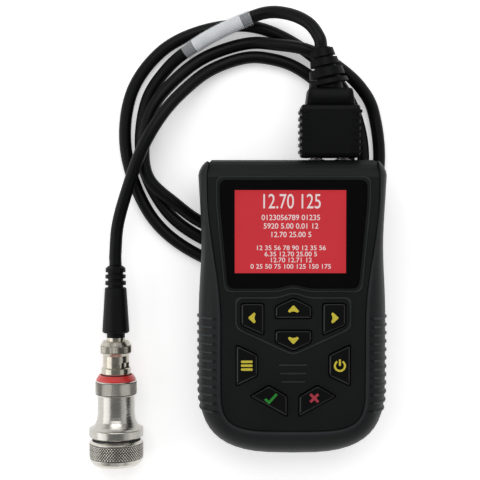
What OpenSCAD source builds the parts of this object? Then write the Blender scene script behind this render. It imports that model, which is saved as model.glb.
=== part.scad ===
// Handheld ultrasonic thickness gauge with its coiled probe lead and probe, lying on its back.
// X runs across the gauge, Y towards its lead socket and Z up out of the surface it lies on.

/* [Body] */
// Overall length of the gauge body
body_l = 130; // [126:1:136]
// Width across the side grips, without the ribs
body_w = 82.9; // [80:0.1:88]
// Height of the rim above the surface that the gauge lies on
body_t = 36.2; // [35.6:0.1:38]
// How far the waist pulls in on each side
waist_d = 1.3; // [0:0.1:2]
// Place of the waist above the middle of the body
waist_y = 30; // [24:1:32]
// Half the length of the waist
waist_l = 34; // [26:1:36]
// Length of the rounded bottom end
end_l = 34; // [31:0.1:37]
// Fullness of the rounded bottom end
end_power = 3; // [2.4:0.05:3.4]
// Length of the cut top corners
corner_l = 6.6; // [4:0.1:9]
// Width of the cut top corners
corner_w = 4.2; // [2:0.1:4.4]
// Height of the widest line of the sides
widest_h = 21; // [17:0.5:25]
// Wall thickness of the two housings
wall = 2.2; // [1.6:0.1:2.4]
// Height of the joint between the two housings
split_h = 18; // [17:0.1:18.4]
// Height of the back face above the surface
back_h = 6.4; // [6:0.1:7.5]
// Length of the rounded edge above the lead socket
bevel_l = 7.5; // [5:0.1:8]
// Depth of the rounded edge above the lead socket
bevel_h = 9.5; // [6:0.1:10]

/* [Bumper] */
// Width of the bumper at the bottom end
rim_bottom = 12.4; // [10:0.1:14]
// Width of the bumper beside the keys
rim_side = 10.4; // [9:0.1:11.5]
// Width of the bumper beside the window
rim_top = 4.5; // [4.4:0.1:6]
// Height of the bumper's rim above the front panel
rim_rise = 0.8; // [0.3:0.1:1.2]
// Number of grip ribs on each side
rib_count = 12; // [6:1:12]
// Distance from rib to rib
rib_pitch = 3.7; // [3:0.1:3.7]
// Height of a rib
rib_h = 0.7; // [0.2:0.1:1]
// Width of a rib
rib_w = 1.1; // [0.8:0.1:1.8]
// Distance of the lowest rib from the lower end
rib_end = 20.5; // [18.2:0.1:22.3]

/* [Window] */
// Width of the window at its top
window_top_w = 63.6; // [60:0.2:66]
// Width of the window at its bottom
window_low_w = 56.6; // [52:0.2:58]
// Height of the window
window_h = 46.9; // [45:0.1:48]
// Place of the window's top edge
window_top_y = 56.2; // [55:0.1:57]
// Thickness of the window lens
lens_t = 1.7; // [1:0.1:2]
// How far the lens lies below the panel
lens_drop = 0.4; // [0.1:0.1:0.8]
// Width of the visible screen
screen_w = 48; // [44:0.5:50]
// Height of the visible screen
screen_h = 35.8; // [32:0.2:37]
// Place of the screen's centre across the gauge
screen_x = -1.3; // [-2:0.1:1]
// Place of the screen's centre along the gauge
screen_y = 33.9; // [33:0.1:35]
// Thickness of the display module
display_t = 3.2; // [2.4:0.1:3.6]

/* [Keys] */
// Gap between a key and its aperture
key_gap = 0.4; // [0.3:0.05:0.6]
// Height of a key above the panel
key_rise = 1.4; // [0.9:0.1:2]
// Travel of a key
key_travel = 0.8; // [0.4:0.1:0.9]
// Width of the flange that keeps a key under the panel
key_flange = 0.9; // [0.7:0.1:1.1]
// Width of the arrow keys at left and right
arrow_w = 9.7; // [8:0.1:10.4]
// Distance of the left and right arrow keys from the middle line
arrow_x = 12.8; // [12:0.1:13.4]
// Width of the up and down keys
house_w = 15.6; // [13:0.1:16.4]
// Width of the menu and power keys
side_w = 9.1; // [8:0.1:9.6]
// Length of the menu and power keys at their outer edge
side_l = 17.7; // [15:0.1:18.2]
// Width of the tick and cross keys
confirm_w = 15.9; // [13:0.1:16.4]

/* [Battery bay] */
// Diameter of a battery cell
cell_d = 14.5; // [14:0.1:14.8]
// Length of a battery cell
cell_l = 50.5; // [48:0.5:51]
// Half width of the bay
bay_w = 24.4; // [23.6:0.1:25]
// Thickness of the bay's cover
cover_t = 1.6; // [1.2:0.1:1.8]

/* [Lead plug] */
// Place of the plug across the gauge
plug_x = 16.4; // [14:0.1:18]
// Height of the plug's axis above the joint between the housings
plug_rise = 4.6; // [4.3:0.1:5]
// Width of the plug hood
hood_w = 25.8; // [24:0.1:28]
// Thickness of the plug hood
hood_t = 17; // [15:0.5:18]
// Length of the plug hood
hood_l = 23; // [20:0.5:24]
// Gap between the plug hood and the gauge
hood_gap = 1; // [0.6:0.1:1.2]
// Distance between the two contacts of the plug
contact_pitch = 11.6; // [10.6:0.1:12.4]
// Radius of a socket shell
socket_r = 3.6; // [3:0.1:3.8]

/* [Lead] */
// Diameter of the lead
cable_d = 5.6; // [5:0.1:5.6]
// Number of steps along the marker's bend
marker_rings = 6; // [4:1:7]

/* [Probe] */
// Place of the probe's end along the surface
probe_tip_y = -72.9; // [-76:0.1:-70]
// Height of the retaining ring
ring_h = 11.4; // [10.6:0.1:12.4]
// Thickness of the wide flange
flange_h = 3.8; // [3:0.1:4.6]
// Length over which the neck sweeps out into the flange
flare_l = 7.7; // [6:0.1:9]
// Height of the knurled collar
collar_h = 6.7; // [5.6:0.1:7.4]
// Place of the probe across the surface
probe_x = -79.3; // [-79.6:0.1:-79]
// Radius of the probe's wide flange
flange_r = 12.3; // [12:0.1:13]
// Radius of the knurled retaining ring
ring_r = 12.1; // [11.4:0.1:12.1]
// Radius of the probe's neck
neck_r = 8.3; // [7.8:0.1:8.7]
// Radius of the knurled collar
collar_r = 9.2; // [8.8:0.1:9.8]
// Radius of the coupling nut's knurled band
nut_r = 6.9; // [6.7:0.1:7.4]
// Radius of the connector socket
socket_tube_r = 4.8; // [4.6:0.05:4.85]
// Angle that the bayonet slots run round the nut
slot_angle = 80; // [76:1:95]

/* [Hidden] */
$fn = 48;

half_w = body_w / 2;
half_l = body_l / 2;
face_h = body_t - rim_rise;
end_y = end_l - half_l;
rib_top_y = rib_end + (rib_count - 1) * rib_pitch - half_l;
rib_low_y = rib_end - half_l - rib_w / 2;
turn_y = min(end_y - 10, rib_low_y - 1.6);
core_top_w = half_w - rim_top;
core_low_w = half_w - rim_side;
core_power = 4.2;
// Places along the panel are given for a body of this length, and stretch with it
panel_l = 130;
function along(y) = y * body_l / panel_l;
function placed(p) = [for (q = p) [q.x, along(q.y)]];
plug_z = split_h + plug_rise;
flare_low_y = along(-5);
flare_top_y = along(52);

seam = 0.15;
tiny = 0.02;

panel_under = face_h - wall;
lens_top = face_h - lens_drop;
ledge_top = lens_top - lens_t;
ledge_t = 1.6;
gasket_t = 1;
display_top = ledge_top - ledge_t - gasket_t;
board_top = display_top - display_t;
board_t = 1.6;
switch_h = 0.6;
switch_d = 4.2;

flange_t = 1.2;
flange_gap = 0.1;
flange_top = panel_under - flange_gap;
flange_low = flange_top - flange_t;
mat_top = flange_low - key_travel - 0.3;
mat_t = 1.2;
stem_low = board_top + switch_h + key_travel + 0.1;
stem_d = 3;
key_round = 1.2;

bay_wall = 2.2;
spring_room = 2.5;
contact_room = 2.1;
bay_low_y = rim_bottom + 2.1 - half_l;
bay_top_y = bay_low_y + cell_l + 2 * bay_wall + spring_room + contact_room;
bay_round = 5;
cell_z = cover_t + 0.7 + cell_d / 2;
cell_low_y = bay_low_y + bay_wall + spring_room;
bay_roof = cell_z + cell_d / 2 + 0.4;

cable_r = cable_d / 2;
probe_z = flange_r;

// Small vector helpers
function unit(v) = v / norm(v);
function mixed(a, b, t) = a + (b - a) * t;
function eased(t) = t <= 0 ? 0 : t >= 1 ? 1 : t * t * (3 - 2 * t);
function flipped(p) = [for (i = [len(p) - 1:-1:0]) [-p[i].x, p[i].y]];

// A closed outline moved inwards by d; the points run anticlockwise
function inset(p, d) = [for (i = [0:len(p) - 1])
  let (e = unit(p[i] - p[(i + len(p) - 1) % len(p)]),
       f = unit(p[(i + 1) % len(p)] - p[i]),
       n = [-e.y, e.x],
       m = [-f.y, f.x])
  p[i] + d * (n + m) / (1 + n * m)];

// A closed outline with each corner rounded from r before it to r after it
function rounded(p, r, n = 4) = [for (i = [0:len(p) - 1])
  let (b = p[i],
       a = b + r * unit(p[(i + len(p) - 1) % len(p)] - b),
       c = b + r * unit(p[(i + 1) % len(p)] - b))
  for (k = [0:n]) mixed(mixed(a, b, k / n), mixed(b, c, k / n), k / n)];

function box_pts(w, h, x = 0, y = 0) =
  [[x - w / 2, y - h / 2], [x + w / 2, y - h / 2], [x + w / 2, y + h / 2], [x - w / 2, y + h / 2]];

// Half widths of the body and of the panel inside the bumper at a place along the gauge
function waist(y) = abs(y - waist_y) < waist_l ? waist_d * (1 + cos(180 * (y - waist_y) / waist_l)) / 2 : 0;
function end_w(w, h, p, d) = w * pow(1 - pow(d / h, p), 1 / p);
function outer_w(y) = y >= end_y ? half_w - waist(y) : end_w(half_w, end_l, end_power, end_y - y);
function core_w(y, d) = y >= end_y
  ? core_low_w - d + (core_top_w - core_low_w) * eased((y - flare_low_y) / (flare_top_y - flare_low_y))
  : end_w(core_low_w - d, end_l - rim_bottom - d, core_power, end_y - y);
function end_pt(w, h, p, t) =
  let (start = asin(pow((end_y - turn_y) / h, p / 2)), a = start + (90 - start) * t)
  [w * pow(max(0, cos(a)), 2 / p), end_y - h * pow(sin(a), 2 / p)];

// Places along the right side where the outline has points, from the top down
rib_rows = [for (i = [0:rib_count - 1]) rib_top_y - i * rib_pitch];
corner_y = half_l - corner_l;
side_steps = 11;
side_low_y = rib_top_y + rib_w / 2 + 3.25;
side_rows = [for (i = [1:side_steps]) mixed(corner_y, side_low_y, i / side_steps)];
end_steps = 10;

// Outer and panel outlines paired point by point down the right side; the last value raises a rib
function corner_pair(t) = [
  [half_w - corner_w + corner_w * pow(sin(90 * t), 1.3), half_l - 0.4 - (corner_l - 0.4) * (1 - pow(cos(90 * t), 1.3))],
  [core_top_w - 0.7 * (1 - t), half_l - 1.2 - (corner_l - 1.2) * t], 0];
function side_pair(y, lift) = [[outer_w(y), y], [core_w(y, 0), y], lift];
function right_pairs() = concat(
  [for (i = [0:4]) corner_pair(i / 4)],
  [for (y = side_rows) side_pair(y, 0)],
  [for (y = rib_rows, k = [[0.5, 0], [0.22, 1], [-0.22, 1], [-0.5, 0]]) side_pair(y + k[0] * rib_w, k[1])],
  [for (i = [0:end_steps])
    [end_pt(half_w, end_l, end_power, i / end_steps),
     end_pt(core_low_w, end_l - rim_bottom, core_power, i / end_steps), 0]]);
function left_pair(q) = [[-q[0].x, q[0].y], [-q[1].x, q[1].y], q[2]];
right_side = right_pairs();
bumper_pairs = concat(right_side, [for (i = [len(right_side) - 2:-1:0]) left_pair(right_side[i])]);

// Outline of the housings inside the bumper, moved inwards by d, anticlockwise
function core_right(d) = concat(
  [for (i = [end_steps:-1:0])
    end_pt(core_low_w - d, end_l - rim_bottom - d, core_power, i / end_steps)],
  [for (i = [14:-1:1]) let (y = turn_y * i / 15) [core_w(y, d), y]],
  [for (i = [len(side_rows) - 1:-1:0]) [core_w(side_rows[i], d), side_rows[i]]],
  [[core_top_w - d, half_l - corner_l], [core_top_w - 0.7 - d, half_l - 1.2 - max(0, d - 1.2)],
   [core_top_w - 1.7 - d, half_l - d]]);
function core_pts(d) =
  let (r = core_right(d))
  concat(r, [for (i = [len(r) - 1:-1:1]) [-r[i].x, r[i].y]]);

// Side view of the front housing: its face rolls over into the top end wall
function front_side(d) = concat(
  [[-body_l, split_h - 1], [half_l - d, split_h - 1]],
  [for (a = [90:-15:0])
    [half_l - d - bevel_l + bevel_l * sin(a), face_h - d - bevel_h * (1 - cos(a))]],
  [[-body_l, face_h - d]]);
function rear_side(d) =
  [[-body_l, back_h + d], [half_l - 4.5 - d / 2, back_h + d], [half_l - d, back_h + 6 + d / 2],
   [half_l - d, split_h + 1], [-body_l, split_h + 1]];

// Stacked rings of equal count joined into one closed skin
module loft(rings) {
  n = len(rings[0]);
  last = n * (len(rings) - 1);
  polyhedron(
    points = [for (r = rings) each r],
    faces = concat(
      [[for (i = [0:n - 1]) i]],
      [[for (i = [n - 1:-1:0]) last + i]],
      [for (j = [0:len(rings) - 2], i = [0:n - 1])
        [j * n + i, j * n + n + i, j * n + n + (i + 1) % n, j * n + (i + 1) % n]]),
    convexity = 6);
}
function at_height(p, z) = [for (q = p) [q.x, q.y, z]];

module plate(p, low, high) translate([0, 0, low]) linear_extrude(high - low) polygon(p);
module crosswise(p) translate([-body_w, 0, 0]) rotate([90, 0, 90]) linear_extrude(2 * body_w) polygon(p);
module ring_plate(outer, inner, low, high) translate([0, 0, low]) linear_extrude(high - low)
  difference() {
    polygon(outer);
    polygon(inner);
  }
// Raised line with sloping sides on the panel, between an outline and the same outline drawn in
function line_ring(p, round, d, z) = at_height(rounded(inset(p, d), round), z);
function line_out(z) = line_slope * (face_h + line_h - z) / line_h;
module ridge(p, round, width) difference() {
  loft([for (z = [face_h - line_root, face_h + line_h]) line_ring(p, round, -line_out(z), z)]);
  loft([for (z = [face_h - line_root - 0.1, face_h + line_h + 0.1]) line_ring(p, round, width + line_out(z), z)]);
}
// Solid of revolution about a line along Y; the points are [radius, y]
module turned(x, z, p) translate([x, 0, z]) rotate([-90, 0, 0]) rotate_extrude($fn = 64) polygon(p);

// Window and key outlines
notch_w = 13;
notch_h = 2;
window_low_y = window_top_y - window_h;
window_pts = placed(
  [[-window_low_w / 2, window_low_y], [-notch_w / 2, window_low_y], [0, window_low_y + notch_h],
   [notch_w / 2, window_low_y], [window_low_w / 2, window_low_y],
   [window_top_w / 2, window_top_y - 10], [window_top_w / 2, window_top_y],
   [-window_top_w / 2, window_top_y], [-window_top_w / 2, window_top_y - 10]]);
screen_mid = [screen_x, along(screen_y)];
screen_l = along(screen_h);
function screen_box(d) = box_pts(screen_w + d, screen_l + d, screen_mid.x, screen_mid.y);
window_round = 3.1;
function window_outline(d) = rounded(inset(window_pts, d), window_round);

arrow_top = 2.9;
arrow_outer = 9.4;
arrow_inner = 13.7;
right_pts = placed([[arrow_x, arrow_top - arrow_inner], [arrow_x + arrow_w, arrow_top - arrow_outer],
  [arrow_x + arrow_w, arrow_top], [arrow_x, arrow_top]]);
house_eave = 5.1;
house_apex = 8.8;
up_base = -3.5;
up_pts = placed([[-house_w / 2, up_base], [house_w / 2, up_base], [house_w / 2, up_base + house_eave],
  [0, up_base + house_apex], [-house_w / 2, up_base + house_eave]]);
down_top = -8.8;
down_pts = placed([[-house_w / 2, down_top - house_eave], [0, down_top - house_apex],
  [house_w / 2, down_top - house_eave], [house_w / 2, down_top], [-house_w / 2, down_top]]);
side_outer_x = 24.6;
side_mid_y = -24;
side_taper = 4.3;
power_pts = placed([[side_outer_x, side_mid_y - side_l / 2], [side_outer_x, side_mid_y + side_l / 2],
  [side_outer_x - side_w, side_mid_y + side_l / 2 - side_taper],
  [side_outer_x - side_w, side_mid_y - side_l / 2 + side_taper]]);
confirm_in_x = 2.6;
confirm_eave_y = -37.4;
confirm_rise = 4.7;
confirm_drop = 8.8;
cross_pts = placed([[confirm_in_x, confirm_eave_y - confirm_drop], [confirm_in_x + confirm_w, confirm_eave_y],
  [confirm_in_x + confirm_w / 2, confirm_eave_y + confirm_rise], [confirm_in_x, confirm_eave_y]]);
all_keys = [up_pts, down_pts, right_pts, flipped(right_pts), power_pts, flipped(power_pts), cross_pts,
  flipped(cross_pts)];
function middle(p) = [for (s = p) 1] * p / len(p);
function key_outline(p, d) = rounded(inset(p, d), key_round);
function raised(p, d) = [for (q = p) q + [0, d]];

// Raised line round the arrow keys
pad_pts = placed([[0, down_top - house_apex - 2], [arrow_x + arrow_w + 2.4, arrow_top - arrow_outer - 1.6],
  [arrow_x + arrow_w + 2.4, arrow_top + 2.6], [house_w / 2 - 1, arrow_top + 2.6],
  [0, up_base + house_apex + 2.6], [1 - house_w / 2, arrow_top + 2.6],
  [-arrow_x - arrow_w - 2.4, arrow_top + 2.6], [-arrow_x - arrow_w - 2.4, arrow_top - arrow_outer - 1.6]]);
line_w = 0.5;
line_h = 0.45;
line_slope = 0.35;
line_root = 0.4;
bar_y = -23.9;
bar_pitch = 3.65;

// Fixing points: [x, y]
case_screw_at = placed([[-31, 45], [31, 45], [-27.6, -38], [27.6, -38]]);
case_boss_r = 2.8;
case_screw_r = 1.5;
board_post_at = placed([[-26.2, 3.6], [26.2, 3.6], [-19, -13], [19, -13]]);
board_post_r = 1.9;
board_screw_r = 0.9;
bay_mid_y = (bay_low_y + bay_top_y) / 2;
cover_screw_at = [[-19.4, bay_mid_y], [19.4, bay_mid_y]];
cover_screw_r = 1.6;
socket_at = [plug_x - contact_pitch / 2, plug_x + contact_pitch / 2];
grip_gap = 0.1;
socket_nut_r = socket_r + 1.3;
socket_nut_t = 1.6;

module front_shell() difference() {
  intersection() {
    plate(core_pts(0), split_h, face_h);
    crosswise(front_side(0));
  }
  intersection() {
    plate(core_pts(wall), split_h - 1, panel_under);
    crosswise(front_side(wall));
  }
}

module front_housing() color("#2b2d2e") difference() {
  union() {
    front_shell();
    plate(window_outline(-2), ledge_top - ledge_t, panel_under + tiny);
    ridge(pad_pts, 2.8, line_w);
    ridge(inset(window_pts, -1.4), window_round, line_w / 2);
    for (i = [0:2])
      let (w = 12 - i, y = along(bar_y - bar_pitch * i))
        loft([for (z = [face_h - line_root, face_h + line_h])
          at_height(box_pts(w + 2 * line_out(z), line_w + 2 * line_out(z), 0, y), z)]);
    for (p = case_screw_at)
      translate([p.x, p.y, split_h]) cylinder(r = case_boss_r, h = panel_under - split_h + tiny);
    for (p = board_post_at)
      translate([p.x, p.y, board_top]) cylinder(r = board_post_r, h = panel_under - board_top + tiny);
  }
  plate(window_outline(0), ledge_top, face_h + 1);
  plate(rounded(screen_box(1.2), 0.8), panel_under - 9, face_h);
  for (p = all_keys)
    plate(key_outline(p, -key_gap), panel_under - 1, face_h + 1);
  for (p = case_screw_at)
    translate([p.x, p.y, split_h - 1]) cylinder(r = case_screw_r + 0.02, h = 11);
  for (p = board_post_at)
    translate([p.x, p.y, board_top - 1]) cylinder(r = board_screw_r + 0.02, h = 5);
  for (x = socket_at)
    translate([x, half_l + 1, plug_z]) rotate([90, 0, 0]) cylinder(r = socket_r + grip_gap, h = wall + 2);
  for (x = socket_at)
    translate([x, half_l - wall, plug_z]) rotate([90, 0, 0]) cylinder(r = socket_nut_r + 0.3, h = socket_nut_t + 2);
  ring_plate(core_pts(0.6), core_pts(1.6), split_h - 1, split_h + 0.4);
}

module bay_solid(d, low, high) plate(
  rounded([[d - bay_w, bay_low_y + d], [bay_w - d, bay_low_y + d], [bay_w - d, bay_top_y - d],
    [d - bay_w, bay_top_y - d]], bay_round - d), low, high);

foot_w = 40;
foot_low_y = half_l - 12.4;
foot_top_y = half_l - 5;
module rear_housing() color("#26282a") difference() {
  union() {
    difference() {
      intersection() {
        plate(core_pts(0), back_h, split_h);
        crosswise(rear_side(0));
      }
      intersection() {
        plate(core_pts(wall), back_h + wall, split_h + 1);
        crosswise(rear_side(wall));
      }
    }
    bay_solid(0, 0, split_h - 0.4);
    intersection() {
      bay_solid(0, back_h, bay_roof + 1.4);
      plate(core_pts(wall + 0.3), back_h, bay_roof + 2);
    }
    plate(rounded(box_pts(foot_w, foot_top_y - foot_low_y, 0, (foot_top_y + foot_low_y) / 2), 2.5), 0, back_h + tiny);
    for (p = case_screw_at)
      translate([p.x, p.y, back_h]) cylinder(r = case_boss_r, h = split_h - back_h);
  }
  bay_solid(1.2, -1, cover_t + 0.5);
  difference() {
    bay_solid(bay_wall, cover_t, bay_roof);
    for (p = cover_screw_at)
      translate([p.x, p.y, cover_t + 0.5]) cylinder(r = 3.3, h = bay_roof);
  }
  for (p = cover_screw_at)
    translate([p.x, p.y, -1]) cylinder(r = cover_screw_r + 0.02, h = 10);
  for (p = case_screw_at) {
    translate([p.x, p.y, back_h - 1]) cylinder(r = case_screw_r + 0.2, h = split_h);
    translate([p.x, p.y, back_h - 1]) cylinder(r = case_screw_r + 1.4, h = 3.4);
  }
  ring_plate(core_pts(0.6), core_pts(1.6), split_h - 0.4, split_h + 1);
}

// Section of the bumper as [share of the way from the panel to the outer line, height]
lip_drop = 0.7;
bumper_section = concat(
  [[0, face_h - 0.5], [0.02, body_t - 0.35], [0.07, body_t], [0.13, body_t - 0.05], [0.2, body_t - 0.5]],
  [for (a = [18:14.4:90]) [sin(a), widest_h + (body_t - lip_drop - widest_h) * (cos(a) + 0.06 * sin(2 * a))]],
  [[1, widest_h - 4]],
  [for (a = [30:30:90]) [0.25 + 0.75 * cos(a), back_h + (widest_h - 4 - back_h) * (1 - sin(a))]],
  [[0, back_h]]);
function bumper_ring(q) =
  let (out = q[0], in = q[1] + seam * unit(q[0] - q[1]), span = norm(out - in))
  [for (s = bumper_section)
    let (lift = s[0] > 0.3 ? q[2] * rib_h : 0, p = mixed(in, out, s[0] + lift * s[0] / span))
    [p.x, p.y, s[1] + (s[0] < 0.95 ? lift * 0.7 : 0)]];
module bumper() color("#313435") loft([for (q = bumper_pairs) bumper_ring(q)]);

module housing_seal() color("#55585a")
  ring_plate(core_pts(0.7), core_pts(1.5), split_h - 0.35, split_h + 0.35);

module screw(r, head_r, head_h, length) {
  cylinder(r = head_r, h = head_h);
  translate([0, 0, head_h - tiny]) cylinder(r = r, h = length);
}
module housing_screws() color("#9a9da0")
  for (p = case_screw_at)
    translate([p.x, p.y, back_h + 0.4]) difference() {
      screw(case_screw_r, case_screw_r + 1.2, 2, 16);
      translate([0, 0, -1]) cylinder(r = 1.1, h = 2, $fn = 6);
    }

module window_lens() color([0.05, 0.05, 0.06, 0.85]) plate(window_outline(0.1), ledge_top, lens_top);

display_edge = 5;
module display_gasket() color("#3a3a3c")
  ring_plate(screen_box(4.4), screen_box(1.6), display_top, display_top + gasket_t);
module display_module() color("#c8303c")
  plate(screen_box(display_edge), board_top, display_top);

board_low_y = -46;
board_top_y = 51.5;
board_pts = placed([[-24.2, board_low_y], [24.2, board_low_y], [24.2, -17], [28, -12], [28, board_top_y],
  [-28, board_top_y], [-28, -12], [-24.2, -17]]);
module main_board() color("#1f5a35") difference() {
  plate(board_pts, board_top - board_t, board_top);
  for (p = board_post_at)
    translate([p.x, p.y, board_top - board_t - 1]) cylinder(r = board_screw_r + 0.2, h = board_t + 2);
}
board_under = board_top - board_t;
chip_blocks = [[0, 30, 22, 14, 2.6], [-14, 6, 12, 12, 1.4], [10, 4, 9, 9, 1.2], [2, -16, 14, 8, 1.8],
  [-12, -34, 8, 6, 2.2], [12, -36, 10, 7, 1.6], [16, 46, 16, 5, 3]];
module board_chips() color("#1b1b1d")
  for (c = chip_blocks)
    plate(box_pts(c[2], c[3], c[0], along(c[1])), board_under - c[4], board_under);
module board_screws() color("#9a9da0")
  for (p = board_post_at)
    translate([p.x, p.y, board_under - 1.3]) screw(board_screw_r, board_screw_r + 0.9, 1.3, 5);

module key_switches() color("#b9bcbe")
  for (p = all_keys)
    translate([middle(p).x, middle(p).y, board_top]) cylinder(d = switch_d, h = switch_h);

mat_pts = placed([[-20, -48.4], [20, -48.4], [28.6, -37], [28.6, 2], [24, 6], [-24, 6], [-28.6, 2], [-28.6, -37]]);
module keypad_mat() color("#3c3f41") difference() {
  union() {
    plate(inset(mat_pts, 1), mat_top - mat_t, mat_top);
    ring_plate(inset(board_pts_low(), 0.6), inset(board_pts_low(), 1.8), board_top, mat_top - mat_t + tiny);
  }
  for (p = all_keys)
    translate([middle(p).x, middle(p).y, 0]) cylinder(d = stem_d + 0.8, h = body_t);
  for (p = concat(board_post_at, case_screw_at))
    translate([p.x, p.y, 0]) cylinder(r = case_boss_r + 0.4, h = body_t);
}
function board_pts_low() = placed([[-24.2, board_low_y], [24.2, board_low_y], [24.2, 6], [-24.2, 6]]);

module key_cap(p, tint) color(tint) {
  plate(key_outline(p, -key_flange - key_gap), flange_low, flange_top);
  plate(key_outline(p, 0), flange_top - tiny, face_h + 0.2);
  loft([at_height(key_outline(p, 0), face_h + 0.2 - tiny), at_height(key_outline(p, 0.25), face_h + 0.5),
    at_height(raised(key_outline(p, 0.8), 0.45), face_h + key_rise)]);
  translate([middle(p).x, middle(p).y, stem_low]) cylinder(d = stem_d, h = flange_low - stem_low + tiny);
}
module key_up() key_cap(up_pts, "#141516");
module key_down() key_cap(down_pts, "#141516");
module key_right() key_cap(right_pts, "#141516");
module key_left() key_cap(flipped(right_pts), "#141516");
module key_power() key_cap(power_pts, "#141516");
module key_menu() key_cap(flipped(power_pts), "#141516");
module key_cross() key_cap(cross_pts, "#141516");
module key_tick() key_cap(flipped(cross_pts), "#141516");

cell_x = [-cell_d / 2 - 0.2, cell_d / 2 + 0.2];
nub_h = 1.2;
module battery_cells() color("#8d9196")
  for (x = cell_x)
    translate([x, cell_low_y, cell_z]) rotate([-90, 0, 0]) {
      cylinder(d = cell_d, h = cell_l - nub_h);
      translate([0, 0, cell_l - nub_h - tiny]) cylinder(d = 5.2, h = nub_h + tiny);
    }
contact_t = 0.5;
module battery_contacts() color("#c9ccce")
  for (x = cell_x) {
    translate([x, bay_low_y + bay_wall, cell_z]) rotate([-90, 0, 0]) {
      cylinder(d = 11, h = contact_t);
      cylinder(d1 = 9, d2 = 5, h = cell_low_y - bay_low_y - bay_wall);
    }
    translate([x, cell_low_y + cell_l, cell_z]) rotate([-90, 0, 0])
      cylinder(d = 10, h = bay_top_y - bay_wall - cell_low_y - cell_l);
  }
module battery_cover() color("#2b2d2e") difference() {
  bay_solid(1.4, 0, cover_t);
  for (p = cover_screw_at)
    translate([p.x, p.y, -1]) cylinder(r = cover_screw_r + 0.2, h = cover_t + 2);
  for (p = cover_screw_at)
    translate([p.x, p.y, -1]) cylinder(r = cover_screw_r + 1.6, h = 1.7);
  for (i = [-2:2])
    plate(box_pts(18, 1.2, 0, bay_low_y + 12.5 + i * 3), -1, 0.4);
}
module battery_seal() color("#55585a") difference() {
  bay_solid(1.4, cover_t, cover_t + 0.5);
  bay_solid(bay_wall + 0.2, cover_t - 1, cover_t + 1);
}
module cover_screws() color("#9a9da0")
  for (p = cover_screw_at)
    translate([p.x, p.y, 0.1]) difference() {
      screw(cover_screw_r, cover_screw_r + 1.4, 0.6, 7);
      translate([-3, -0.4, -1]) cube([6, 0.8, 1.4]);
    }

socket_deep = 9;
module lead_sockets() color("#b4b7b9")
  for (x = socket_at)
    translate([x, half_l + 0.3, plug_z]) rotate([90, 0, 0]) difference() {
      cylinder(r = socket_r, h = socket_deep);
      translate([0, 0, -1]) cylinder(r = socket_r - 0.8, h = socket_deep);
    }
module socket_nuts() color("#9a9da0")
  for (x = socket_at)
    translate([x, half_l - wall, plug_z]) rotate([90, 0, 0]) difference() {
      cylinder(r = socket_nut_r, h = socket_nut_t, $fn = 6);
      translate([0, 0, -1]) cylinder(r = socket_r + 0.02, h = 4);
    }

// Lead plug: a moulded hood with ribbed sides, its two contacts and a segmented relief
hood_low_y = half_l + hood_gap;
hood_top_y = hood_low_y + hood_l;
shoulder_l = 7.4;
relief_tilt = 12;
relief_l = 18;
grip_ribs = 7;
hood_pts = box_pts(hood_w, hood_l, plug_x, hood_low_y + hood_l / 2);
shoulder_pts = [[plug_x - hood_w / 2 + 2, hood_top_y - 1], [plug_x + hood_w / 2 - 2, hood_top_y - 1],
  [plug_x + hood_w / 2 - 3.2, hood_top_y + shoulder_l], [plug_x - hood_w / 2 + 3.2, hood_top_y + shoulder_l]];
module hood_slab(p, t) {
  low = plug_z - t / 2;
  high = plug_z + t / 2;
  steps = [[low, 1.4], [low + 0.6, 0.4], [low + 2, 0], [high - 2, 0], [high - 0.6, 0.4], [high, 1.4]];
  loft([for (s = steps) at_height(rounded(inset(p, s[1]), 1.6), s[0])]);
}
module plug_hood() color("#1d1f20") difference() {
  union() {
    hood_slab(hood_pts, hood_t);
    hood_slab(shoulder_pts, hood_t - 3);
    for (i = [0:grip_ribs - 1], s = [-1, 1])
      plate(box_pts(4.4, 1.3, plug_x + s * (hood_w / 2 - 1.6), hood_low_y + 2.6 + i * 2.9),
        plug_z - hood_t / 2 + 1, plug_z + hood_t / 2 + 0.3);
  }
  for (x = socket_at)
    translate([x, hood_low_y - 1, plug_z]) rotate([-90, 0, 0]) cylinder(r = contact_r, h = 9);
}
contact_r = socket_r - 0.9;
module plug_contacts() color("#c9b26a")
  for (x = socket_at)
    translate([x, half_l - 5, plug_z]) rotate([-90, 0, 0]) cylinder(r = contact_r, h = 5 + hood_gap + 8);

// Segmented relief: collars that narrow towards the lead, on a thinner neck
relief_rows = [[8.9, 2, 1.8], [7.9, 5.2, 3.6], [6.5, 10.2, 3], [5.5, 14.2, 3.2]];
relief_y = hood_top_y + shoulder_l;
module plug_relief() color("#1d1f20") difference() {
  translate([plug_x, relief_y, plug_z]) rotate([0, 0, relief_tilt]) rotate([-90, 0, 0]) {
    translate([0, 0, -2]) cylinder(r = 6, h = 2.2);
    cylinder(r1 = 6, r2 = cable_r + 1, h = relief_l);
    for (c = relief_rows)
      translate([0, 0, c[1]]) cylinder(r1 = c[0], r2 = c[0] - 0.5, h = c[2]);
  }
  translate([plug_x - hood_w, relief_y - 10, 0]) cube([2 * hood_w, 10, 2 * body_t]);
}

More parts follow.
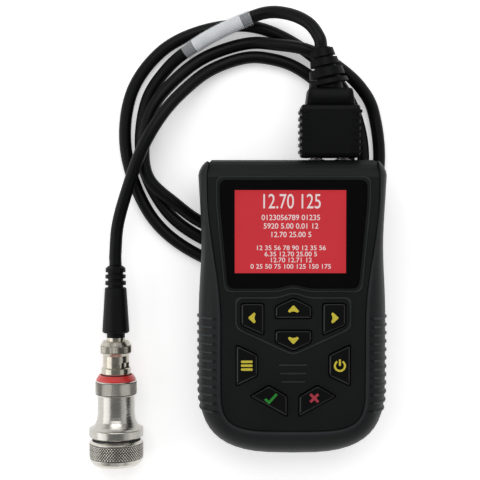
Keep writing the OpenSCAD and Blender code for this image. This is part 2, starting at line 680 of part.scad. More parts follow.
// Lead: points along its route as [x, y, height of its underside above the surface]
relief_axis = [-sin(relief_tilt), cos(relief_tilt), 0];
relief_end = [plug_x, relief_y, plug_z - cable_r] + relief_l * relief_axis;
boot_end_y = 17.6;
up_y = (body_l - panel_l) / 2;
lay_y = bay_top_y + cable_r + 3;
route = concat(
  [relief_end, relief_end + 5 * relief_axis],
  [for (p = [[7, 125.5, 17], [-1.5, 130, 13], [-12, 131, 9.5], [-26, 126, 7.4], [-42, 118, 4], [-56, 107.5, 0.4]])
    p + [0, up_y, 0]],
  [[-66.2, 91, 0], [-68, 66, 0], [-58.1, 44, 0], [-42, lay_y + 15.7, 0], [-18, lay_y + 6.8, 0],
   [9, lay_y + 8.6, 0], [28.5, lay_y + 25.2, 0], [33.5, 64, 0]],
  [for (p = [[30, 86, 0], [19.5, 104, 0], [2, 118.5, 0], [-18, 126.4, 0], [-40, 124.4, 0], [-59.5, 114.5, 0]])
    p + [0, up_y, 0]],
  [[-73, 95, 0], [-75, 68, 0], [-64, 40, 0], [-44, lay_y + 8.2, 0], [-18, lay_y, 0], [12, lay_y + 1.8, 0],
   [34, lay_y + 19.2, 0], [40.6, 62, 0]],
  [for (p = [[38.4, 86, 0], [32, 98, 3.6], [21, 107.5, 6.6], [8, 114.6, 7.4], [-6, 117.6, 4], [-20, 118.6, 0],
    [-38, 112.8, 0.6], [-51.4, 102.8, 3.4]]) p + [0, up_y, 0]],
  [[-62.4, 89.5, 5.6], [-66.6, 74, 6], [-64.6, 57.5, 6.4], [-52.4, 45.6, 4.2], [-38.8, lay_y + 21.3, 0.2],
   [-16, lay_y + 13.6, 0],
   [7.5, lay_y + 15.4, 0], [21.5, lay_y + 28.2, 0], [26.8, 64, 0]],
  [for (p = [[23.6, 84, 0], [15, 98, 0], [5, 106.4, 0], [-6, 111, 0], [-20, 112.2, 0], [-36, 106.6, 1.6],
    [-48, 97, 6.6]]) p + [0, up_y, 0]],
  [[-58, 85.5, 11], [-66.5, 71, 12.4], [-73, 54, 11], [-78, 37, 9.8]],
  [[probe_x, boot_end_y + 6, probe_z - cable_r], [probe_x, boot_end_y, probe_z - cable_r]]);
function route_at(i) =
  i < 0 ? 2 * route[0] - route[1]
  : i > len(route) - 1 ? 2 * route[len(route) - 1] - route[len(route) - 2]
  : route[i];
// Smooth curve through the route, t counted in points
function lead_at(t) =
  let (i = min(floor(t), len(route) - 2), f = t - i,
       a = route_at(i - 1), b = route_at(i), c = route_at(i + 1), d = route_at(i + 2),
       p = (2 * b + (c - a) * f + (2 * a - 5 * b + 4 * c - d) * f * f + (3 * b - a - 3 * c + d) * f * f * f) / 2)
  [p.x, p.y, max(0, p.z) + cable_r];
function lead_heading(t) = unit(lead_at(min(t + 0.05, len(route) - 1)) - lead_at(max(t - 0.05, 0)));
function lead_ring(t, r, sides) =
  let (h = lead_heading(t), across = unit(cross(h, [0, 0, 1])), over = cross(across, h))
  [for (k = [0:sides - 1]) let (a = 360 * k / sides) lead_at(t) + r * (cos(a) * across + sin(a) * over)];
lead_sides = 10;
lead_rings = 88;
module cable() color("#17191a")
  loft([for (i = [0:lead_rings]) lead_ring(i * (len(route) - 1) / lead_rings, cable_r, lead_sides)]);

// Marker on the lead: a white label rolled under a clear sleeve
module sleeve(first, last, steps, outer, inner) {
  n = 16;
  rings = [for (i = [0:steps]) let (t = mixed(first, last, i / steps)) lead_ring(t, outer, n)];
  bores = [for (i = [0:steps]) let (t = mixed(first, last, i / steps)) lead_ring(t, inner, n)];
  half = n * (steps + 1);
  polyhedron(
    points = [for (r = concat(rings, bores)) each r],
    faces = concat(
      [for (j = [0:steps - 1], i = [0:n - 1])
        [j * n + i, j * n + n + i, j * n + n + (i + 1) % n, j * n + (i + 1) % n]],
      [for (j = [0:steps - 1], i = [0:n - 1])
        [half + j * n + (i + 1) % n, half + j * n + n + (i + 1) % n, half + j * n + n + i, half + j * n + i]],
      [for (i = [0:n - 1]) [i, (i + 1) % n, half + (i + 1) % n, half + i]],
      [for (i = [0:n - 1])
        [half + steps * n + i, half + steps * n + (i + 1) % n, steps * n + (i + 1) % n, steps * n + i]]),
    convexity = 4);
}
label_r = cable_r + 0.35;
sleeve_r = label_r + 0.4;
module marker_label() color("white") sleeve(4.75, 6.1, marker_rings, label_r, cable_r + 0.1);
module marker_sleeve() color([0.9, 0.92, 0.95, 0.4]) sleeve(4.45, 6.4, marker_rings, sleeve_r, label_r + 0.1);

// Probe end boot: a tapered grip and three flexible collars
boot_low_y = -12.7;
boot_body_y = 7.8;
module probe_boot() color("#1d1f20") turned(probe_x, probe_z,
  [[2, connector_top_y], [4.1, connector_top_y], [4.1, boot_low_y], [5.6, boot_low_y], [6.1, boot_low_y + 0.6],
   [6.1, boot_low_y + 1.4], [4.9, boot_body_y - 0.4], [4.5, boot_body_y], [3.5, boot_body_y],
   [3.5, 9], [4.7, 9], [4.7, 10.7], [3.5, 10.7], [3.5, 12], [4.6, 12], [4.6, 13.6], [3.5, 13.6], [3.5, 14.8],
   [4.5, 14.8], [4.5, 16.6], [3.3, boot_end_y], [0, boot_end_y], [0, 2], [2, 2]]);

// Bayonet connector
connector_top_y = -14.8;
socket_top_y = -25;
nut_low_y = -32.4;
nut_bore_r = socket_tube_r + 0.9;
lug_y = -27.2;
lug_d = 1.9;
lug_r = 5.95;
lug_gap = 0.3;
module connector_body() color("#c9cbcc") turned(probe_x, probe_z,
  [[1.1, 2], [2, 2], [2, connector_top_y], [4.2, connector_top_y], [4.2, -16.8], [4.9, -16.8], [4.9, -17.6],
   [4.2, -17.6], [4.2, socket_top_y], [1.1, socket_top_y]]);
module connector_pin() color("#d8b75a") turned(probe_x, probe_z,
  [[0, -12], [1.1, -12], [1.1, -24.4], [0.7, -24.4], [0.7, -31], [0, -31.6]]);

// The nut: knurled band, waisted barrel with two bayonet slots, and a rolled lower lip
nut_profile = [[5.2, -17], [5.9, -16.6], [nut_r, -18.2], [nut_r, -21.7], [5.9, -23], [5.9, -28.3], [6.7, -28.7],
  [6.7, -31], [6.4, nut_low_y], [nut_bore_r - 0.4, nut_low_y], [nut_bore_r - 0.4, -24.7], [4.5, -24.7],
  [4.5, -17.9], [5.2, -17.9]];
slot_start = 75;
entry_angle = 26;
module coupling_nut() color("#d4d6d7") difference() {
  turned(probe_x, probe_z, nut_profile);
  for (turn = [0, 180])
    translate([probe_x, 0, probe_z]) rotate([-90, 0, 0]) rotate([0, 0, turn - slot_start]) {
      translate([0, 0, lug_y - lug_d / 2 - lug_gap]) rotate_extrude(angle = slot_angle)
        translate([4, 0]) square([4, lug_d + 2 * lug_gap]);
      translate([0, 0, lug_y]) rotate([0, 90, 0]) cylinder(d = lug_d + 2 * lug_gap, h = 8);
      translate([0, 0, nut_low_y - 1]) rotate([0, 0, slot_angle - entry_angle]) rotate_extrude(angle = entry_angle)
        translate([4, 0]) square([lug_r + lug_gap - 4, lug_y - nut_low_y + 1]);
    }
}

// Probe
seat_gap = 0.3;
ring_low_y = probe_tip_y;
ring_top_y = ring_low_y + ring_h;
flange_low_y = ring_top_y + 1.5;
flange_top_y = flange_low_y + flange_h;
flare_y = flange_top_y + flare_l;
collar_low_y = flare_y + 7.5;
collar_top_y = collar_low_y + collar_h;
red_top_y = collar_top_y + 2.5;
bore_r = 5.6;
shell_r = 10;
core_r = 7.5;
body_low_y = ring_low_y + 2.4;
membrane_t = 0.6;
contact_face_r = 8.2;
contact_rise = 0.2;
module probe_socket() color("#c2c4c5") union() {
  turned(probe_x, probe_z,
    [[3.6, socket_top_y], [socket_tube_r, socket_top_y], [socket_tube_r, collar_top_y + 1.3],
     [bore_r, collar_top_y + 1], [bore_r, collar_low_y - 4], [3.6, collar_low_y - 4]]);
  for (turn = [0, 180])
    translate([probe_x, 0, probe_z]) rotate([-90, 0, 0]) rotate([0, 0, turn - slot_start]) translate([4, 0, lug_y])
      rotate([0, 90, 0]) cylinder(d = lug_d, h = lug_r - 4);
}
module socket_insulator() color("#e8e6df") turned(probe_x, probe_z,
  [[0.7, collar_top_y + 3.8], [3.6, collar_top_y + 3.8], [3.6, collar_low_y - 3.9], [0.7, collar_low_y - 3.9]]);
module colour_ring() color("#c8202a") turned(probe_x, probe_z,
  [[bore_r, collar_top_y], [collar_r - 0.2, collar_top_y], [collar_r - 0.2, collar_top_y + 0.6],
   [7.7, red_top_y], [7.1, red_top_y], [7.1, collar_top_y + 1], [bore_r, collar_top_y + 1]]);
module knurled_collar() color("#a9abac") turned(probe_x, probe_z,
  [[bore_r, collar_top_y], [collar_r - 0.3, collar_top_y], [collar_r, collar_top_y - 0.4],
   [collar_r, collar_low_y + 0.4], [collar_r - 0.4, collar_low_y], [bore_r, collar_low_y]]);
// The neck sweeps out into the flange on a quarter of an ellipse
flare_steps = 8;
function flare_pt(i) = let (a = 90 * i / flare_steps)
  [neck_r + (flange_r - 0.1 - neck_r) * (1 - cos(a)), flare_y - flare_l * sin(a)];
module probe_body() color("#b7babb") turned(probe_x, probe_z, concat(
  [[bore_r, collar_low_y], [neck_r, collar_low_y]],
  [for (i = [0:flare_steps]) flare_pt(i)],
  [[flange_r, flange_top_y - 0.2], [flange_r, flange_low_y + 0.5], [flange_r - 0.6, flange_low_y],
   [shell_r, flange_low_y], [shell_r, body_low_y], [core_r, body_low_y], [core_r, collar_low_y - 5],
   [bore_r, collar_low_y - 5]]));
crystal_t = 3;
module backing_block() color("#5a4632") turned(probe_x, probe_z,
  [[0, collar_low_y - 6], [core_r, collar_low_y - 6], [core_r, body_low_y + crystal_t], [0, body_low_y + crystal_t]]);
module crystal() color("#d9cba3") turned(probe_x, probe_z,
  [[0, body_low_y + crystal_t], [core_r, body_low_y + crystal_t], [core_r, body_low_y], [0, body_low_y]]);
module wear_membrane() color("#b98a4a") turned(probe_x, probe_z,
  [[0, body_low_y], [shell_r - 0.2, body_low_y], [shell_r - 0.2, body_low_y - membrane_t],
   [contact_face_r, body_low_y - membrane_t], [contact_face_r, ring_low_y - contact_rise],
   [0, ring_low_y - contact_rise]]);
lip_y = body_low_y - membrane_t - 0.4;
ring_bore_r = shell_r + seat_gap;
lip_r = contact_face_r + seat_gap + 0.1;
module retaining_ring() color("#a3a5a6") turned(probe_x, probe_z,
  [[ring_bore_r, ring_top_y], [ring_r - 0.9, ring_top_y], [ring_r, ring_top_y - 0.9], [ring_r, ring_low_y + 3.3],
   [ring_r - 0.5, ring_low_y + 1.7], [ring_r - 1.8, ring_low_y + 0.3], [ring_r - 3, ring_low_y],
   [lip_r, ring_low_y], [lip_r, lip_y], [ring_bore_r, lip_y]]);
module probe_seal() color("#2a2a2b") turned(probe_x, probe_z,
  [[shell_r, flange_low_y], [shell_r + 0.9, flange_low_y], [shell_r + 0.9, ring_top_y + 0.4], [shell_r, ring_top_y + 0.4]]);

front_housing();
rear_housing();
bumper();
housing_seal();
housing_screws();
window_lens();
display_gasket();
display_module();
main_board();
board_chips();
board_screws();
key_switches();
keypad_mat();
key_up();
key_down();
key_left();
key_right();
key_menu();
key_power();
key_tick();
key_cross();
battery_cells();
battery_contacts();
battery_cover();
battery_seal();
cover_screws();
lead_sockets();
socket_nuts();
plug_hood();
plug_contacts();
plug_relief();
cable();
marker_label();
marker_sleeve();
probe_boot();
connector_body();
connector_pin();
coupling_nut();
probe_socket();
socket_insulator();
colour_ring();
knurled_collar();
probe_body();
backing_block();
crystal();
wear_membrane();
retaining_ring();
probe_seal();
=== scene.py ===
import math
import bpy
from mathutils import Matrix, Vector


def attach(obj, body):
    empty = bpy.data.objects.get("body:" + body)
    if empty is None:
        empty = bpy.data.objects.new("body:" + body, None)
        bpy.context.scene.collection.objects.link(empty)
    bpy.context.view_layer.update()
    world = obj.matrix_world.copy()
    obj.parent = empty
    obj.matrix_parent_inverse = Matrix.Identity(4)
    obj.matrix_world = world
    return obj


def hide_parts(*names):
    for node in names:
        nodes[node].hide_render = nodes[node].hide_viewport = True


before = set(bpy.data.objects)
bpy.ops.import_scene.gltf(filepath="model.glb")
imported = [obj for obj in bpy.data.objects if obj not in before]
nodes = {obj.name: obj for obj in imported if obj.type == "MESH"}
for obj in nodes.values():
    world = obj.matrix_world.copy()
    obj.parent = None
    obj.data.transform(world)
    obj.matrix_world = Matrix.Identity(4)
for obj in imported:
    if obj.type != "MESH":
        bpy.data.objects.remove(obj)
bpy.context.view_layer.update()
scene = bpy.context.scene
MM = 0.001
ROOT = "gauge"


# Camera
cam_data = bpy.data.cameras.new("camera")
cam_data.lens = 82.5
cam_data.sensor_width = 36
cam = bpy.data.objects.new("camera", cam_data)
cam.location = (-0.023025, 0.051828, 0.508652)
cam.rotation_euler = (math.radians(-2.6), 0, 0)
scene.collection.objects.link(cam)
scene.camera = cam


# Node trees
def feed(tree, to, inputs):
    """Fill a node's inputs with values, or link them from sockets; an underscore in a name is a space."""
    for key, v in inputs.items():
        socket = to.inputs[key if isinstance(key, int) else key.replace("_", " ")]
        if isinstance(v, bpy.types.NodeSocket):
            tree.links.new(v, socket)
        else:
            socket.default_value = v


def add_node(tree, kind, *values, operation=None, **named):
    """A new node, with its inputs filled in order or by name."""
    new = tree.nodes.new(kind)
    if operation:
        new.operation = operation
    feed(tree, new, {**dict(enumerate(values)), **named})
    return new


def new_material(name, **named):
    """A new material with its Principled inputs filled, returned with its tree and that node."""
    m = bpy.data.materials.new(name)
    m.use_nodes = True
    b = m.node_tree.nodes["Principled BSDF"]
    feed(m.node_tree, b, named)
    return m, m.node_tree, b


def noise(tree, where, scale, detail=2):
    return add_node(tree, "ShaderNodeTexNoise", Vector=where, Scale=scale, Detail=detail).outputs["Fac"]


def object_place(tree):
    return add_node(tree, "ShaderNodeTexCoord").outputs["Object"]


def shades(tree, fac, colour, mottle, ends=(0.0, 1.0)):
    """A colour that a noise makes darker and paler by the share mottle."""
    ramp = add_node(tree, "ShaderNodeValToRGB", fac)
    for stop, at, gain in zip(ramp.color_ramp.elements, ends, (1 - mottle, 1 + mottle)):
        stop.color = [min(1, c * gain) for c in colour] + [1]
        stop.position = at
    return ramp.outputs["Color"]


def paler(tree, colour, gain):
    return add_node(tree, "ShaderNodeVectorMath", colour, operation="SCALE", Scale=gain).outputs["Vector"]


# Materials
def shader(name, base, rough, metal=0.0, spec=0.5, mottle=0.12, mottle_scale=60, grain=0.0,
           grain_scale=2500, coat=0.0, rough_vary=0.06, stretch=(1, 1, 1), ridge_highlight=None):
    """Mottled colour and roughness, with a fine grain where asked for.

    A painted highlight: given (from, to, how much paler), whatever stands above a height is painted paler, as if
    lit.
    """
    m, tree, b = new_material(name, Metallic=metal, Specular_IOR_Level=spec, Coat_Weight=coat, Coat_Roughness=0.08)
    where = object_place(tree)
    place = add_node(tree, "ShaderNodeMapping", Vector=where, Scale=stretch).outputs["Vector"]
    cloud = noise(tree, place, mottle_scale, 4)
    colour = shades(tree, cloud, base, mottle, (0.3, 0.7))
    # Painted highlight: paler with height above the face
    if ridge_highlight:
        low, high, gain = ridge_highlight
        z = add_node(tree, "ShaderNodeSeparateXYZ", where).outputs["Z"]
        ridge_light = add_node(tree, "ShaderNodeMapRange", Value=z, From_Min=low * MM, From_Max=high * MM,
                        To_Min=1.0, To_Max=gain)
        colour = paler(tree, colour, ridge_light.outputs["Result"])
    span = add_node(tree, "ShaderNodeMapRange", Value=cloud, To_Min=max(0.02, rough - rough_vary),
                    To_Max=min(1, rough + rough_vary))
    feed(tree, b, {"Base_Color": colour, "Roughness": span.outputs["Result"]})
    if grain:
        bump = add_node(tree, "ShaderNodeBump", Height=noise(tree, place, grain_scale), Strength=grain,
                        Distance=0.00006)
        feed(tree, b, {"Normal": bump.outputs["Normal"]})
    return m


# The panel's raised lines and the bumper's inner lip get a painted highlight, paler with height
panel_mat = shader("panel", (0.0045, 0.0052, 0.0052), 0.5, spec=0.16, grain=0.3, ridge_highlight=(35.5, 35.8, 4.6))
bumper_mat = shader("bumper", (0.0056, 0.0064, 0.0068), 0.5, spec=0.17, grain=0.22, grain_scale=1800,
                    ridge_highlight=(35.85, 36.15, 3.0))
rear_mat = shader("rear", (0.006, 0.0066, 0.0066), 0.55, spec=0.2, grain=0.4)
cover_mat = shader("cover", (0.008, 0.0086, 0.0086), 0.5, spec=0.2, grain=0.4)
seal_mat = shader("seal", (0.03, 0.03, 0.032), 0.7, spec=0.2, grain=0.2)
screw_mat = shader("screw", (0.45, 0.46, 0.47), 0.3, metal=1, mottle_scale=900)
board_mat = shader("board", (0.015, 0.09, 0.035), 0.4, mottle_scale=300)
chip_mat = shader("chip", (0.012, 0.012, 0.013), 0.45, grain=0.3)
mat_mat = shader("mat", (0.012, 0.013, 0.014), 0.7, spec=0.15, grain=0.2)
key_mat = shader("key", (0.0015, 0.0017, 0.0019), 0.2, spec=0.26, mottle_scale=200, rough_vary=0.03)
cell_mat = shader("cell", (0.25, 0.26, 0.28), 0.35, metal=0.6, mottle_scale=120)
spring_mat = shader("spring_metal", (0.62, 0.62, 0.62), 0.22, metal=1, mottle_scale=700)
plug_mat = shader("plug", (0.0014, 0.0016, 0.0017), 0.46, spec=0.09, grain=0.2)
# Darkened metal for the contacts and sockets: part metal, part painted shade for the gap under the plug hood
pin_metal_and_shade_mat = shader("pin", (0.16, 0.155, 0.15), 0.35, metal=1, mottle_scale=600)
gilt_mat = shader("gilt", (0.72, 0.55, 0.24), 0.25, metal=1, mottle_scale=600)
jacket_mat = shader("jacket", (0.0020, 0.0022, 0.0023), 0.42, spec=0.14, grain=0.1, grain_scale=1500)
label_mat = shader("label", (0.66, 0.67, 0.68), 0.55, mottle=0.06, mottle_scale=180, grain=0.1)
boot_mat = shader("boot", (0.0022, 0.0024, 0.0025), 0.45, spec=0.14, grain=0.15)
nickel_mat = shader("nickel", (0.50, 0.467, 0.40), 0.22, metal=1, mottle=0.08, mottle_scale=500)
steel_mat = shader("steel", (0.50, 0.487, 0.45), 0.27, metal=1, mottle=0.06, mottle_scale=160,
                   stretch=(1, 14, 1), rough_vary=0.05)
knurl_mat = shader("knurl", (0.60, 0.58, 0.525), 0.26, metal=1, mottle=0.05, mottle_scale=900, rough_vary=0.03)
# Dark metal for the knurl grooves: painted shade
knurl_shade_mat = shader("knurl_groove_shade", (0.05, 0.048, 0.042), 0.45, metal=1, mottle=0.1, mottle_scale=900)
red_mat = shader("red", (0.56, 0.03, 0.028), 0.3, mottle=0.1, mottle_scale=300, coat=0.3)
insulator_mat = shader("insulator", (0.80, 0.79, 0.74), 0.5, mottle=0.05)
backing_mat = shader("backing", (0.12, 0.08, 0.05), 0.6)
crystal_mat = shader("crystal", (0.70, 0.62, 0.42), 0.4)
membrane_mat = shader("membrane", (0.45, 0.27, 0.10), 0.25, coat=0.4)
yellow_mat = shader("yellow_print", (0.56, 0.47, 0.045), 0.5, spec=0.2, mottle=0.08, mottle_scale=900)
green_mat = shader("green_print", (0.02, 0.20, 0.025), 0.5, spec=0.2, mottle=0.08, mottle_scale=900)
cross_mat = shader("red_print", (0.36, 0.035, 0.055), 0.5, spec=0.2, mottle=0.08, mottle_scale=900)
border_mat = shader("lens_border", (0.0016, 0.0016, 0.0018), 0.12, spec=0.12, mottle_scale=250, rough_vary=0.03)


def paint_rib_highlights(m, rib_y, pitch, half, low_y, top_y, side_x, gain):
    """Painted highlight on the grip ribs: paler tops in a band repeated along Y, on the two sides only."""
    tree = m.node_tree
    b = tree.nodes["Principled BSDF"]
    plain = b.inputs["Base Color"].links[0].from_socket

    def step(operation, *values):
        return add_node(tree, "ShaderNodeMath", *values, operation=operation).outputs["Value"]

    parts = add_node(tree, "ShaderNodeSeparateXYZ", object_place(tree))
    y = parts.outputs["Y"]
    apart = step("PINGPONG", step("SUBTRACT", y, rib_y * MM), pitch / 2 * MM)
    band = add_node(tree, "ShaderNodeMapRange", Value=apart, From_Min=half * 0.5 * MM, From_Max=half * MM,
                    To_Min=gain, To_Max=0.0)
    within = step("MULTIPLY", step("LESS_THAN", y, top_y * MM), step("GREATER_THAN", y, low_y * MM))
    aside = step("GREATER_THAN", step("ABSOLUTE", parts.outputs["X"]), side_x * MM)
    amount = step("MULTIPLY", step("MULTIPLY", within, aside), band.outputs["Result"])
    feed(tree, b, {"Base_Color": paler(tree, plain, step("ADD", amount, 1.0))})


# Painted highlight on the rib tops of the side grips
paint_rib_highlights(bumper_mat, rib_y=-3.8, pitch=3.7, half=0.7, low_y=-45.3, top_y=-3.0, side_x=35.0, gain=4.5)


def glow(name, colour, mottle):
    """A lit screen layer: emission with a faint cell structure over a dark base."""
    m = shader(name, [c * 0.1 for c in colour], 0.4, spec=0.1)
    tree = m.node_tree
    light = shades(tree, noise(tree, object_place(tree), 90), colour, mottle)
    feed(tree, tree.nodes["Principled BSDF"], {"Emission_Color": light, "Emission_Strength": 1.0})
    return m


screen_mat = glow("screen", (0.62, 0.036, 0.047), 0.05)
digits_mat = glow("digits", (0.86, 0.74, 0.74), 0.03)


def clear_shader(name, tint, amount, rough, spec=0.5):
    """Clear film: mostly transparent, with a glossy, faintly uneven skin."""
    m, tree, b = new_material(name, Base_Color=tint + (1,), Roughness=rough, Alpha=amount, Specular_IOR_Level=spec)
    bump = add_node(tree, "ShaderNodeBump", Height=noise(tree, object_place(tree), 400), Strength=0.1,
                    Distance=0.0001)
    feed(tree, b, {"Normal": bump.outputs["Normal"]})
    return m


sleeve_mat = clear_shader("sleeve", (0.80, 0.83, 0.86), 0.16, 0.15)
pane_mat = clear_shader("pane", (0.01, 0.01, 0.012), 0.10, 0.08, spec=0.15)

dress = {
    "front_housing": panel_mat, "rear_housing": rear_mat, "bumper": bumper_mat, "housing_seal": seal_mat,
    "housing_screws": screw_mat, "window_lens": pane_mat, "display_gasket": seal_mat,
    "display_module": screen_mat, "main_board": board_mat, "board_chips": chip_mat, "board_screws": screw_mat,
    "key_switches": spring_mat, "keypad_mat": mat_mat, "battery_cells": cell_mat,
    "battery_contacts": spring_mat, "battery_cover": cover_mat, "battery_seal": seal_mat,
    "cover_screws": screw_mat, "lead_sockets": pin_metal_and_shade_mat, "socket_nuts": screw_mat, "plug_hood": plug_mat,
    "plug_contacts": pin_metal_and_shade_mat, "plug_relief": plug_mat, "cable": jacket_mat, "marker_label": label_mat,
    "marker_sleeve": sleeve_mat, "probe_boot": boot_mat, "connector_body": nickel_mat,
    "connector_pin": gilt_mat, "coupling_nut": nickel_mat, "probe_socket": nickel_mat,
    "socket_insulator": insulator_mat, "colour_ring": red_mat, "knurled_collar": knurl_mat,
    "probe_body": steel_mat, "backing_block": backing_mat, "crystal": crystal_mat,
    "wear_membrane": membrane_mat, "retaining_ring": knurl_mat, "probe_seal": seal_mat,
    "key_up": key_mat, "key_down": key_mat, "key_left": key_mat, "key_right": key_mat,
    "key_menu": key_mat, "key_power": key_mat, "key_tick": key_mat, "key_cross": key_mat}
for name, m in dress.items():
    nodes[name].data.materials.clear()
    nodes[name].data.materials.append(m)


def soften(name, angle):
    """Smooth shading on a faceted node, by a modifier alone, with the edges sharper than angle kept."""
    tree = bpy.data.node_groups.new("soften_" + name, "GeometryNodeTree")
    for way in ("INPUT", "OUTPUT"):
        tree.interface.new_socket("Mesh", in_out=way, socket_type="NodeSocketGeometry")
    mesh = add_node(tree, "NodeGroupInput").outputs["Mesh"]
    weld = add_node(tree, "GeometryNodeMergeByDistance", Geometry=mesh, Distance=2e-6)
    bend = add_node(tree, "GeometryNodeInputMeshEdgeAngle").outputs["Unsigned Angle"]
    sharp = add_node(tree, "FunctionNodeCompare", bend, math.radians(angle), operation="GREATER_THAN")
    shade = add_node(tree, "GeometryNodeSetMeshNormal", Mesh=weld.outputs["Geometry"], Remove_Custom=True,
                     Edge_Sharpness=sharp.outputs["Result"])
    add_node(tree, "NodeGroupOutput", Mesh=shade.outputs["Mesh"])
    nodes[name].modifiers.new("soften", "NODES").node_group = tree


soften("bumper", 50)
soften("plug_hood", 35)


# Mesh helpers; sizes below are in millimetres
def piece(name, verts, faces, material, body, smooth=True):
    me = bpy.data.meshes.new(name)
    me.from_pydata([[c * MM for c in v] for v in verts], [], faces)
    me.polygons.foreach_set("use_smooth", [smooth] * len(me.polygons))
    me.materials.append(material)
    me.update()
    o = bpy.data.objects.new(name, me)
    scene.collection.objects.link(o)
    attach(o, body)
    return o


def rings_mesh(rings, closed_ends):
    """Skin over rings of equally many points, in order."""
    n = len(rings[0])
    verts = [p for r in rings for p in r]
    faces = []
    for j in range(len(rings) - 1):
        for i in range(n):
            k = (i + 1) % n
            faces.append((j * n + i, j * n + k, j * n + n + k, j * n + n + i))
    if closed_ends:
        faces.append(tuple(range(n - 1, -1, -1)))
        faces.append(tuple((len(rings) - 1) * n + i for i in range(n)))
    return verts, faces


def turned(faces):
    return [f[::-1] for f in faces]


def slab(outline, low, high):
    """Prism on an outline of (x, y) points."""
    area = sum(a[0] * b[1] - b[0] * a[1] for a, b in zip(outline, outline[1:] + outline[:1]))
    if area < 0:
        outline = outline[::-1]
    return rings_mesh([[(x, y, z) for x, y in outline] for z in (low, high)], True)


# Lead: the same route as the solid model, along the lowest line of the jacket
PLUG_X, PLUG_Z, CABLE_R = 16.4, 22.6, 2.8
PROBE_X, PROBE_Z = -79.3, 12.3
RELIEF_Y, RELIEF_L = 96.4, 18
BOOT_END = 17.6
tilt = math.radians(12)
axis = Vector((-math.sin(tilt), math.cos(tilt), 0))
relief_end = Vector((PLUG_X, RELIEF_Y, PLUG_Z - CABLE_R)) + RELIEF_L * axis
route = [relief_end, relief_end + 5 * axis] + [Vector(p) for p in (
    (7, 125.5, 17), (-1.5, 130, 13), (-12, 131, 9.5), (-26, 126, 7.4), (-42, 118, 4), (-56, 107.5, 0.4),
    (-66.2, 91, 0), (-68, 66, 0), (-58.1, 44, 0), (-42, 30.5, 0), (-18, 21.6, 0), (9, 23.4, 0), (28.5, 40, 0),
    (33.5, 64, 0), (30, 86, 0), (19.5, 104, 0), (2, 118.5, 0), (-18, 126.4, 0), (-40, 124.4, 0),
    (-59.5, 114.5, 0), (-73, 95, 0), (-75, 68, 0), (-64, 40, 0), (-44, 23, 0), (-18, 14.8, 0), (12, 16.6, 0),
    (34, 34, 0), (40.6, 62, 0), (38.4, 86, 0), (32, 98, 3.6), (21, 107.5, 6.6), (8, 114.6, 7.4),
    (-6, 117.6, 4), (-20, 118.6, 0), (-38, 112.8, 0.6), (-51.4, 102.8, 3.4), (-62.4, 89.5, 5.6),
    (-66.6, 74, 6), (-64.6, 57.5, 6.4), (-52.4, 45.6, 4.2), (-38.8, 36.1, 0.2), (-16, 28.4, 0),
    (7.5, 30.2, 0), (21.5, 43, 0), (26.8, 64, 0), (23.6, 84, 0), (15, 98, 0), (5, 106.4, 0), (-6, 111, 0),
    (-20, 112.2, 0), (-36, 106.6, 1.6), (-48, 97, 6.6), (-58, 85.5, 11), (-66.5, 71, 12.4), (-73, 54, 11),
    (-78, 37, 9.8),
    (PROBE_X, BOOT_END + 6, PROBE_Z - CABLE_R), (PROBE_X, BOOT_END, PROBE_Z - CABLE_R))]


def route_at(i):
    """A point of the route, with one more beyond each end."""
    if i < 0:
        return 2 * route[0] - route[1]
    if i > len(route) - 1:
        return 2 * route[-1] - route[-2]
    return route[i]


def lead_at(t):
    """Centre of the lead at t spans from its start, on a Catmull-Rom curve that stays on the floor."""
    i = min(int(t), len(route) - 2)
    f = t - i
    a, b, c, d = (route_at(i + k) for k in (-1, 0, 1, 2))
    p = (2 * b + (c - a) * f + (2 * a - 5 * b + 4 * c - d) * f ** 2 + (3 * b - a - 3 * c + d) * f ** 3) / 2
    return Vector((p.x, p.y, max(0, p.z) + CABLE_R))


def lead_ring(t, r, sides):
    h = (lead_at(min(t + 0.05, len(route) - 1)) - lead_at(max(t - 0.05, 0))).normalized()
    across = h.cross(Vector((0, 0, 1))).normalized()
    over = across.cross(h)
    here = lead_at(t)
    return [here + r * (math.cos(a) * across + math.sin(a) * over)
            for a in (2 * math.pi * k / sides for k in range(sides))]


PER_SPAN = 10
steps = PER_SPAN * (len(route) - 1)
verts, faces = rings_mesh([lead_ring(i / PER_SPAN, CABLE_R, 24) for i in range(steps + 1)], True)
lead = piece("lead", verts, turned(faces), jacket_mat, ROOT)
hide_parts("cable")


def tube_on_lead(name, first, last, outer, inner, material, node):
    """Sleeve round the lead from first to last, in spans, with its two radii."""
    count, sides = 24, 32
    ts = [first + (last - first) * i / count for i in range(count + 1)]
    rings = [lead_ring(t, outer, sides) for t in ts] + [lead_ring(t, inner, sides) for t in reversed(ts)]
    rings.append(rings[0])
    verts, faces = rings_mesh(rings, False)
    o = piece(name, verts, turned(faces), material, ROOT)
    edges = o.modifiers.new("edges", "EDGE_SPLIT")
    edges.split_angle = math.radians(50)
    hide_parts(node)
    return o


label = tube_on_lead("lead_label", 4.75, 6.1, 3.15, 2.9, label_mat, "marker_label")
sleeve = tube_on_lead("lead_sleeve", 4.45, 6.4, 3.55, 3.25, sleeve_mat, "marker_sleeve")


# Keys: moulded skins over the solid caps
FACE = 35.4
CAP = FACE + 1.4
# Inset from the key's outline, shift up the panel, and height above the panel, from the foot to the top
CAP_PROFILE = ((-0.012, 0, 0.1), (-0.012, 0, 0.5), (0.03, 0.02, 0.8), (0.3, 0.18, 1.1), (0.62, 0.38, 1.33),
               (0.8, 0.45, 1.41), (1.0, 0.45, 1.42))


def inset(points, d):
    """A closed outline moved inwards by d; the points run anticlockwise."""
    out = []
    for i, b in enumerate(points):
        b = Vector(b)
        e = (b - Vector(points[i - 1])).normalized()
        f = (Vector(points[(i + 1) % len(points)]) - b).normalized()
        n, m = Vector((-e.y, e.x)), Vector((-f.y, f.x))
        out.append(b + d * (n + m) / (1 + n.dot(m)))
    return out


